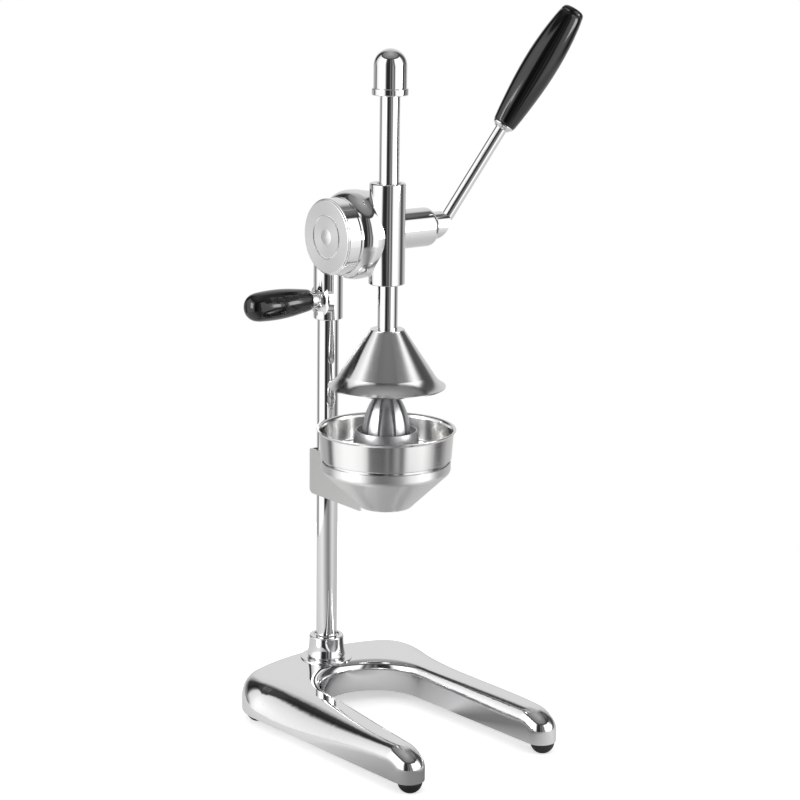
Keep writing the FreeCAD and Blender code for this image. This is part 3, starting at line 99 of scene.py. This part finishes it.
def mirror_chrome(name, waviness_mm, ripple_mm):
    """Chrome plate over a buffed casting or bar: a near mirror, a touch cool, with the faint
    unevenness that buffing leaves. Dark surroundings show as crisp black lines in it."""
    material, tree = new_material(name)
    place = add(tree, "TexCoord").outputs["Object"]
    buffing = add(tree, "TexNoise", {"Vector": place, "Scale": per_patch(ripple_mm), "Detail": 1.0})
    wave = add(tree, "Bump", {"Height": buffing.outputs["Fac"], "Distance": waviness_mm * MM,
                              "Strength": 1.0})
    haze = add(tree, "TexNoise", {"Vector": place, "Scale": per_patch(16.667), "Detail": 4.0})
    rough = add(tree, "MapRange", {"Value": haze.outputs["Fac"], "To Min": 0.035, "To Max": 0.075})
    plate = add(tree, "BsdfPrincipled", {
        "Base Color": linear("#ebebec"), "Metallic": 1.0, "Roughness": rough.outputs["Result"],
        "Normal": wave.outputs["Normal"]})
    add(tree, "OutputMaterial", {"Surface": plate.outputs["BSDF"]})
    return material


def turned_steel(name, axis, centre, tone, roughness, groove_mm, stretch, polished_past_mm=None):
    """Stainless steel finished on a lathe or by spinning: fine rings round one axis, which draw
    each highlight out across the rings and leave the upright bands crisp. Real rings are some
    0.05 mm apart, and these are coarser so that they show. Past a place along the axis, the edge of
    a lid can be buffed bright."""
    material, tree = new_material(name)
    place = add(tree, "TexCoord").outputs["Object"]
    offset = add(tree, "VectorMath", {0: place, 1: centre}, operation="SUBTRACT").outputs["Vector"]
    along = add(tree, "VectorMath", {0: offset, 1: axis}, operation="DOT_PRODUCT").outputs["Value"]
    tangent = add(tree, "VectorMath", {0: axis, 1: offset}, operation="CROSS_PRODUCT").outputs["Vector"]
    radius = add(tree, "VectorMath", {0: tangent}, operation="LENGTH").outputs["Value"]
    rings = add(tree, "CombineXYZ", {"X": along, "Y": radius}).outputs["Vector"]
    fine = add(tree, "TexNoise", {"Vector": rings, "Scale": per_patch(groove_mm), "Detail": 2.0},
               noise_dimensions="2D")
    groove = add(tree, "Bump", {"Height": fine.outputs["Fac"], "Distance": RING_DEPTH_MM * MM,
                                "Strength": 1.0})
    rough = add(tree, "MapRange", {"Value": fine.outputs["Fac"], "To Min": roughness - 0.04,
                                   "To Max": roughness + 0.04}).outputs["Result"]
    if polished_past_mm is not None:
        rough = add(tree, "MapRange", {
            "Value": along, "From Min": (polished_past_mm - BUFFED_FADE_MM) * MM,
            "From Max": polished_past_mm * MM, "To Min": rough, "To Max": BUFFED}).outputs["Result"]
    # A quarter turn lays the stretched highlight across the rings.
    steel = add(tree, "BsdfPrincipled", {
        "Base Color": linear(tone), "Metallic": 1.0, "Roughness": rough, "Anisotropic": stretch,
        "Anisotropic Rotation": 0.25, "Tangent": tangent, "Normal": groove.outputs["Normal"]})
    add(tree, "OutputMaterial", {"Surface": steel.outputs["BSDF"]})
    return material


def satin_sheet(name, tone, roughness):
    """Stainless sheet, bent and lightly blasted: a soft even sheen. Its rolling grain runs front to
    back and is drawn about 1 mm wide, coarser than it is, so that it shows."""
    material, tree = new_material(name)
    place = add(tree, "TexCoord").outputs["Object"]
    across, along = per_patch(1.1111), per_patch(16.667)
    drawn = add(tree, "Mapping", {"Vector": place, "Scale": (across, along, across)}).outputs["Vector"]
    grain = add(tree, "TexNoise", {"Vector": drawn, "Scale": 1.0, "Detail": 3.0})
    bump = add(tree, "Bump", {"Height": grain.outputs["Fac"], "Distance": 0.01 * MM, "Strength": 1.0})
    rough = add(tree, "MapRange", {"Value": grain.outputs["Fac"], "To Min": roughness - 0.06,
                                   "To Max": roughness + 0.06})
    steel = add(tree, "BsdfPrincipled", {
        "Base Color": linear(tone), "Metallic": 1.0, "Roughness": rough.outputs["Result"],
        "Normal": bump.outputs["Normal"]})
    add(tree, "OutputMaterial", {"Surface": steel.outputs["BSDF"]})
    return material


def cast_alloy(name):
    """Gravity-cast aluminium, tumbled smooth: dull and bright by turns, with a fine pebbled skin."""
    material, tree = new_material(name)
    place = add(tree, "TexCoord").outputs["Object"]
    skin = add(tree, "TexNoise", {"Vector": place, "Scale": per_patch(1.2), "Detail": 3.0})
    bump = add(tree, "Bump", {"Height": skin.outputs["Fac"], "Distance": 0.03 * MM, "Strength": 1.0})
    rough = add(tree, "MapRange", {"Value": skin.outputs["Fac"], "To Min": 0.28, "To Max": 0.42})
    alloy = add(tree, "BsdfPrincipled", {
        "Base Color": linear("#cfd0d1"), "Metallic": 1.0, "Roughness": rough.outputs["Result"],
        "Normal": bump.outputs["Normal"]})
    add(tree, "OutputMaterial", {"Surface": alloy.outputs["BSDF"]})
    return material


def moulded_plastic(name):
    """Thermoset grip, moulded, buffed and waxed to a gloss: jet black, with a soft bright edge to
    each highlight."""
    material, tree = new_material(name)
    place = add(tree, "TexCoord").outputs["Object"]
    flow = add(tree, "TexNoise", {"Vector": place, "Scale": per_patch(33.333), "Detail": 1.0})
    bump = add(tree, "Bump", {"Height": flow.outputs["Fac"], "Distance": 0.008 * MM, "Strength": 1.0})
    scuff = add(tree, "TexNoise", {"Vector": place, "Scale": per_patch(4.5455), "Detail": 4.0})
    rough = add(tree, "MapRange", {"Value": scuff.outputs["Fac"], "To Min": 0.08, "To Max": 0.14})
    plastic = add(tree, "BsdfPrincipled", {
        "Base Color": linear("#0b0b0c"), "Roughness": rough.outputs["Result"], "IOR": 1.52,
        "Coat Weight": 0.3, "Coat Roughness": 0.08, "Normal": bump.outputs["Normal"]})
    add(tree, "OutputMaterial", {"Surface": plastic.outputs["BSDF"]})
    return material


def moulded_rubber(name):
    """Black nitrile rubber from a plain mould: a matt bloom over a very dark grey."""
    material, tree = new_material(name)
    place = add(tree, "TexCoord").outputs["Object"]
    bloom = add(tree, "TexNoise", {"Vector": place, "Scale": per_patch(2.8571), "Detail": 4.0})
    shade = add(tree, "Mix", {"Factor": bloom.outputs["Fac"], 6: linear("#19191a"), 7: linear("#242425")},
                data_type="RGBA")
    bump = add(tree, "Bump", {"Height": bloom.outputs["Fac"], "Distance": 0.04 * MM, "Strength": 1.0})
    rubber = add(tree, "BsdfPrincipled", {
        "Base Color": shade.outputs[2], "Roughness": 0.55, "IOR": 1.5, "Normal": bump.outputs["Normal"]})
    add(tree, "OutputMaterial", {"Surface": rubber.outputs["BSDF"]})
    return material


def machined_metal(name, tone, roughness):
    """Plain bar stock, turned or milled and left bare: an even, slightly broken sheen from the tool's
    marks, which are drawn coarser than they are."""
    material, tree = new_material(name)
    place = add(tree, "TexCoord").outputs["Object"]
    marks = add(tree, "TexNoise", {"Vector": place, "Scale": per_patch(0.6), "Detail": 3.0})
    bump = add(tree, "Bump", {"Height": marks.outputs["Fac"], "Distance": 0.008 * MM, "Strength": 1.0})
    rough = add(tree, "MapRange", {"Value": marks.outputs["Fac"], "To Min": roughness - 0.05,
                                   "To Max": roughness + 0.08})
    metal = add(tree, "BsdfPrincipled", {
        "Base Color": linear(tone), "Metallic": 1.0, "Roughness": rough.outputs["Result"],
        "Normal": bump.outputs["Normal"]})
    add(tree, "OutputMaterial", {"Surface": metal.outputs["BSDF"]})
    return material


cast_chrome = mirror_chrome("buffed_cast_chrome", 0.015, 38.0)
bar_chrome = mirror_chrome("ground_bar_chrome", 0.0, 38.0)
lid_steel = turned_steel("faced_lid_steel", SIDEWAYS, SHAFT_AXIS, "#f2f2f2", 0.32, 0.35, 0.3, -46.0)
spun_steel = turned_steel("spun_bowl_steel", UPRIGHT, RAM_AXIS, "#e6e6e5", 0.16, 0.5, 0.75)
funnel_steel = turned_steel("satin_funnel_steel", UPRIGHT, RAM_AXIS, "#e6e6e5", 0.36, 0.5, 0.5)
sheet_steel = satin_sheet("bracket_sheet_steel", "#d6d6d4", 0.34)
alloy = cast_alloy("tumbled_cast_aluminium")
grip_plastic = moulded_plastic("buffed_black_thermoset")
foot_rubber = moulded_rubber("black_nitrile_rubber")
bearing_bronze = machined_metal("sintered_bronze", "#a8a094", 0.35)
bar_steel = machined_metal("bright_bar_steel", "#c3c4c6", 0.3)

FINISHES = {
    cast_chrome: ("base", "head_housing", "column_socket"),
    bar_chrome: ("column", "ram", "ram_cap", "lever_hub", "lever_rod", "lever_ferrule"),
    lid_steel: ("gear_cover", "cover_button"),
    spun_steel: ("press_cup", "strainer_bowl"),
    funnel_steel: ("funnel",),
    sheet_steel: ("bowl_bracket",),
    alloy: ("reamer",),
    grip_plastic: ("lever_grip", "grip_cap", "steady_grip"),
    foot_rubber: ("foot_front_left", "foot_front_right", "foot_rear_left", "foot_rear_right"),
    bearing_bronze: ("shaft_bush_left", "shaft_bush_inner", "shaft_bush_outer", "guide_bush_lower",
                     "guide_bush_upper"),
    bar_steel: ("column_plug", "column_washer", "column_bolt", "head_set_screw", "pinion_shaft", "shaft_key",
                "retaining_ring", "pinion", "cup_washer", "cup_screw", "hub_set_screw", "steady_stud",
                "bracket_screws"),
}
for finish, names in FINISHES.items():
    for name in names:
        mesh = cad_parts[name].data
        mesh.materials.clear()
        mesh.materials.append(finish)


# The two grips and the lever's end cap, drawn fuller and smoother than their plain solids

STEPS_ROUND = 72
LEVER_FOOT, LEVER_WAY = (37.6, 42.4, 462.3), (0.46947, -0.23299, 0.85165)
STEADY_FOOT, STEADY_WAY = (-48, 103, 393.8), (-0.9999, 0.0, -0.014)


def turned(name, body, replaced, start_mm, way, outline):
    """A black form turned about a line that leaves a place in a direction. Its outline is the
    distance along that line and the radius, in mm, once round the cut half."""
    form = bmesh.new()
    corners = [form.verts.new((along * MM, 0, radius * MM)) for along, radius in outline]
    for near, far in zip(corners, corners[1:]):
        form.edges.new((near, far))
    bmesh.ops.spin(form, geom=form.verts[:] + form.edges[:], cent=(0, 0, 0), axis=(1, 0, 0),
                   angle=2 * math.pi, steps=STEPS_ROUND, use_merge=True)
    bmesh.ops.remove_doubles(form, verts=form.verts[:], dist=0.001 * MM)
    bmesh.ops.recalc_face_normals(form, faces=form.faces[:])
    lay = Vector(way).to_track_quat("X", "Z").to_matrix().to_4x4()
    move = Matrix.Translation(Vector(start_mm) * MM)
    bmesh.ops.transform(form, matrix=move @ lay, verts=form.verts[:])
    mesh = bpy.data.meshes.new(name)
    form.to_mesh(mesh)
    form.free()
    mesh.shade_smooth()
    mesh.materials.append(grip_plastic)
    piece = bpy.data.objects.new(name, mesh)
    bpy.context.scene.collection.objects.link(piece)
    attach(piece, body)
    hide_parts(replaced)


turned("lever_grip_barrel", "lever", "lever_grip", LEVER_FOOT, LEVER_WAY, [
    (108.6, 5.6), (108.6, 9.9), (109.0, 10.5), (110.9, 10.95), (120.6, 12.3), (130.4, 13.35),
    (140.1, 14.3), (149.8, 15.1), (159.5, 15.65), (169.2, 15.95), (179.0, 15.98), (188.7, 15.65),
    (198.4, 15.0), (208.1, 14.05), (217.8, 12.75), (222.7, 11.9), (225.9, 11.25), (226.3, 10.9),
    (226.3, 5.6), (108.6, 5.6),
])
turned("lever_grip_end", "lever", "grip_cap", LEVER_FOOT, LEVER_WAY, [
    (215.0, 0.0), (215.0, 5.3), (226.45, 5.3), (226.45, 10.85), (226.8, 11.1), (229.4, 10.4), (230.8, 9.4),
    (231.7, 7.8), (232.2, 5.6), (232.5, 3.0), (232.6, 0.0),
])
turned("steady_grip_barrel", "frame", "steady_grip", STEADY_FOOT, STEADY_WAY, [
    (71.5, 0.0), (71.5, 4.9), (22.8, 4.9), (22.8, 9.3), (23.4, 10.0), (26.0, 10.5), (29.4, 11.0),
    (36.2, 12.0), (43.0, 12.9), (49.8, 13.55), (56.7, 13.95), (63.5, 14.05), (70.3, 13.9), (77.1, 13.5),
    (80.5, 13.1), (83.9, 12.3), (86.6, 10.9), (88.8, 8.9), (90.3, 6.4), (91.1, 3.4), (91.4, 0.0),
])

# Camera, floor and light, in metres

# The camera was fitted to the press's round parts and upright lines.
TURN, PITCH, ROLL = math.radians(37.97), math.radians(13.18), math.radians(0.74)
CAMERA_PLACE = (-1.22854, -1.52040, 0.76610)
FOCAL_PIXELS, PICTURE_PIXELS, SENSOR_MM = 2187, 800, 36.0
PRESS_MIDDLE = Vector((-0.04, 0.0, 0.35))
TABLE_RADIUS = 0.66
forward = Vector((math.sin(TURN) * math.cos(PITCH), math.cos(TURN) * math.cos(PITCH), -math.sin(PITCH)))
level_right = Vector((math.cos(TURN), -math.sin(TURN), 0))
level_up = level_right.cross(forward)
level_back = Vector((-math.sin(TURN), -math.cos(TURN), 0))


def place_camera():
    """The photograph's viewpoint: front left, a little above the press."""
    right = level_right * math.cos(ROLL) + level_up * math.sin(ROLL)
    up = level_up * math.cos(ROLL) - level_right * math.sin(ROLL)
    data = bpy.data.cameras.new("camera")
    data.sensor_width = SENSOR_MM
    data.lens = SENSOR_MM * FOCAL_PIXELS / PICTURE_PIXELS
    camera = bpy.data.objects.new("camera", data)
    stance = Matrix((right, up, -forward)).transposed().to_4x4()
    camera.matrix_world = Matrix.Translation(CAMERA_PLACE) @ stance
    bpy.context.scene.collection.objects.link(camera)
    bpy.context.scene.camera = camera


def bearing(tree, way):
    """The bearing of a direction round the press, as 0 to 1: half is towards the camera, more is
    the picture's right."""
    sideways = add(tree, "VectorMath", {0: way, 1: level_right}, operation="DOT_PRODUCT").outputs["Value"]
    nearer = add(tree, "VectorMath", {0: way, 1: level_back}, operation="DOT_PRODUCT").outputs["Value"]
    turn = add(tree, "Math", {0: sideways, 1: nearer}, operation="ARCTAN2").outputs["Value"]
    return add(tree, "MapRange", {"Value": turn, "From Min": -math.pi, "From Max": math.pi}).outputs["Result"]


def round_the_press(tree, turn, tones):
    """Greys from (bearing in degrees, grey) pairs."""
    return ramp(tree, turn, [((angle + 180) / 360, grey) for angle, grey in tones]).outputs["Color"]


# What the metal mirrors, as (bearing in degrees, grey): round the horizon, higher up, and on the table.
LOW_PANELS = [
    (-180, 0.75), (-145, 0.50), (-124, 0.45), (-117, 0.20), (-111, 0.08), (-106, 0.50), (-100, 0.98),
    (-80, 1.25), (-42, 1.25), (-34, 1.0), (-28, 0.12), (-23, 0.03), (-6, 0.02), (-1, 0.08), (3, 0.22),
    (7, 0.06), (11, 0.05), (16, 0.32), (21, 0.46), (26, 0.10), (30, 0.08), (36, 0.98), (42, 1.25),
    (68, 1.25), (80, 0.85), (90, 0.45), (97, 0.10), (108, 0.08), (116, 0.26), (131, 0.55), (180, 0.75),
]
HIGH_PANELS = [
    (-180, 0.80), (-160, 0.76), (-151, 0.40), (-144, 0.05), (-126, 0.02), (-121, 0.12), (-114, 0.80),
    (-98, 1.0), (-84, 1.35), (-38, 1.35), (-27, 0.05), (-4, 0.02), (3, 0.20), (8, 0.05), (20, 0.30),
    (27, 0.05), (36, 1.35), (88, 1.35), (97, 0.95), (104, 0.20), (112, 0.07), (138, 0.10), (147, 0.55),
    (160, 0.76), (180, 0.80),
]
# The table's greys are also painted onto the table top as its light and shade: lighter beside the press,
# darker in front.
TABLE_LIGHT_AND_SHADE = [
    (-180, 0.72), (-130, 0.74), (-95, 0.82), (-60, 0.94), (-28, 0.50), (-4, 0.30), (14, 0.28), (32, 0.54),
    (60, 0.88), (100, 0.70), (150, 0.68), (180, 0.72),
]
# Where the wall behind the press shows in the ceiling, by bearing, and both ceilings by height as a sine.
BACK_WALL = [(-180, 1.0), (-160, 1.0), (-146, 0.0), (144, 0.0), (158, 1.0), (180, 1.0)]
FRONT_CEILING = [(0.70, 0.05), (0.75, 0.06), (0.81, 0.22), (0.92, 0.28), (1.0, 0.42)]
BACK_CEILING = [(0.60, 0.74), (0.85, 0.50), (1.0, 0.42)]
# Heights, as a sine, over which the table, the low panels and the high panels give way to what is above.
TABLE_EDGE, PANEL_EDGE, CEILING_EDGE = (-0.45, -0.37), (-0.05, 0.25), (0.68, 0.71)
AMBIENT, TABLE_GLOW = 0.75, 0.5


def light_the_room():
    """White for the camera. Metal mirrors a studio of two tall white panels with dark gaps between
    them, a dim ceiling and a lighter wall behind the press."""
    world = bpy.data.worlds.new("studio")
    bpy.context.scene.world = world
    world.use_nodes = True
    tree = world.node_tree
    tree.nodes.clear()
    ray = add(tree, "LightPath")
    way = add(tree, "TexCoord").outputs["Generated"]
    turn = bearing(tree, way)
    height = add(tree, "SeparateXYZ", {"Vector": way}).outputs["Z"]
    climb, under, rise = (
        add(tree, "MapRange", {"Value": height, "From Min": low, "From Max": high}).outputs["Result"]
        for low, high in (PANEL_EDGE, TABLE_EDGE, (0.0, 1.0)))
    panels = add(tree, "Mix", {"Factor": climb, 6: round_the_press(tree, turn, LOW_PANELS),
                               7: round_the_press(tree, turn, HIGH_PANELS)}, data_type="RGBA").outputs[2]
    panels = add(tree, "Mix", {"Factor": under, 6: round_the_press(tree, turn, TABLE_LIGHT_AND_SHADE), 7: panels},
                 data_type="RGBA").outputs[2]
    above = ramp(tree, rise, [(0.0, 0.0), (CEILING_EDGE[0], 0.0), (CEILING_EDGE[1], 1.0), (1.0, 1.0)])
    front = ramp(tree, rise, FRONT_CEILING).outputs["Color"]
    back = ramp(tree, rise, BACK_CEILING).outputs["Color"]
    behind = round_the_press(tree, turn, BACK_WALL)
    ceiling = add(tree, "Mix", {"Factor": behind, 6: front, 7: back}, data_type="RGBA").outputs[2]
    mirrored = add(tree, "Mix", {"Factor": above.outputs["Color"], 6: panels, 7: ceiling},
                   data_type="RGBA").outputs[2]
    seen = add(tree, "Background", {"Color": WHITE, "Strength": 1.0}).outputs[0]
    reflected = add(tree, "Background", {"Color": mirrored, "Strength": 1.0}).outputs[0]
    ambient = add(tree, "Background", {"Color": WHITE, "Strength": AMBIENT}).outputs[0]
    metal = add(tree, "MixShader", {0: ray.outputs["Is Glossy Ray"], 1: ambient, 2: reflected}).outputs[0]
    plain = add(tree, "Math", {0: ray.outputs["Is Camera Ray"], 1: ray.outputs["Is Transmission Ray"]},
                operation="MAXIMUM").outputs["Value"]
    whole = add(tree, "MixShader", {0: plain, 1: metal, 2: seen}).outputs[0]
    add(tree, "OutputWorld", {"Surface": whole})


def hang_lamp(name, angle, distance, height, width, tall, power):
    """A soft upright lamp at a bearing round the press, in degrees, metres and watts. It gives the
    black grips their highlight."""
    data = bpy.data.lights.new(name, "AREA")
    data.shape = "RECTANGLE"
    data.size, data.size_y = width, tall
    data.energy = power
    lamp = bpy.data.objects.new(name, data)
    angle = math.radians(angle)
    way = level_back * math.cos(angle) + level_right * math.sin(angle)
    lamp.location = way * distance + Vector((0, 0, height))
    aim = PRESS_MIDDLE - lamp.location
    lamp.rotation_euler = aim.to_track_quat("-Z", "Y").to_euler()
    bpy.context.scene.collection.objects.link(lamp)


def lay_floor():
    """A round white table top. It keeps the press's soft shadow. The camera sees it as white as the
    background. For the metal it is a grey painted by bearing round the press, with painted light beside the
    press and painted shade in front, and the metal mirrors that."""
    form = bmesh.new()
    bmesh.ops.create_circle(form, cap_ends=True, segments=96, radius=TABLE_RADIUS)
    mesh = bpy.data.meshes.new("table_top")
    form.to_mesh(mesh)
    form.free()
    floor = bpy.data.objects.new("table_top", mesh)
    bpy.context.scene.collection.objects.link(floor)
    material, tree = new_material("white_table")
    seen = add(tree, "LightPath").outputs["Is Camera Ray"]
    paint = add(tree, "BsdfDiffuse", {"Color": linear("#f2f2f2")}).outputs[0]
    glow = add(tree, "Emission", {"Color": WHITE, "Strength": TABLE_GLOW}).outputs[0]
    lit = add(tree, "AddShader", {0: paint, 1: glow}).outputs[0]
    # Painted light and shade: for the metal, the table top's grey is lighter beside the press and darker in
    # front.
    grey = round_the_press(tree, bearing(tree, add(tree, "TexCoord").outputs["Object"]), TABLE_LIGHT_AND_SHADE)
    mirrored = add(tree, "BsdfDiffuse", {"Color": grey}).outputs[0]
    whole = add(tree, "MixShader", {0: seen, 1: mirrored, 2: lit}).outputs[0]
    add(tree, "OutputMaterial", {"Surface": whole})
    mesh.materials.append(material)


place_camera()
light_the_room()
lay_floor()
hang_lamp("right_lamp", angle=76, distance=2.2, height=0.60, width=0.9, tall=0.8, power=13.0)
hang_lamp("left_lamp", angle=-60, distance=2.2, height=0.90, width=1.0, tall=1.3, power=20.0)
bpy.context.scene.view_settings.view_transform = "Standard"
